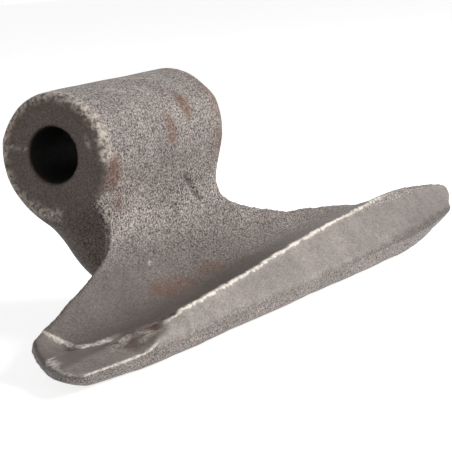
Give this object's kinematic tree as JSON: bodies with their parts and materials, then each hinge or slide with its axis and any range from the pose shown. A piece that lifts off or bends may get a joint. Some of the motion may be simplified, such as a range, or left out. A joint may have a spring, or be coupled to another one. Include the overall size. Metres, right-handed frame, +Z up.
{
  "type": "shredder hammer",
  "caption": "T-shaped forged flail hammer with a pin eye, a neck and a wide scooped blade, for a field shredder.",
  "frame": {"origin": "middle of the pin bore", "axes": "+X along the pin bore, +Z up from the blade through the eye, and the scooped front of the blade looks along -Y"},
  "size_m": [0.225, 0.0762, 0.0717],
  "materials": {
    "forged_steel": "dark grey-brown forged and shot-blasted steel, lightly rusted"
  },
  "bodies": {
    "root": {"hammer": "forged_steel"}
  },
  "joints": []
}
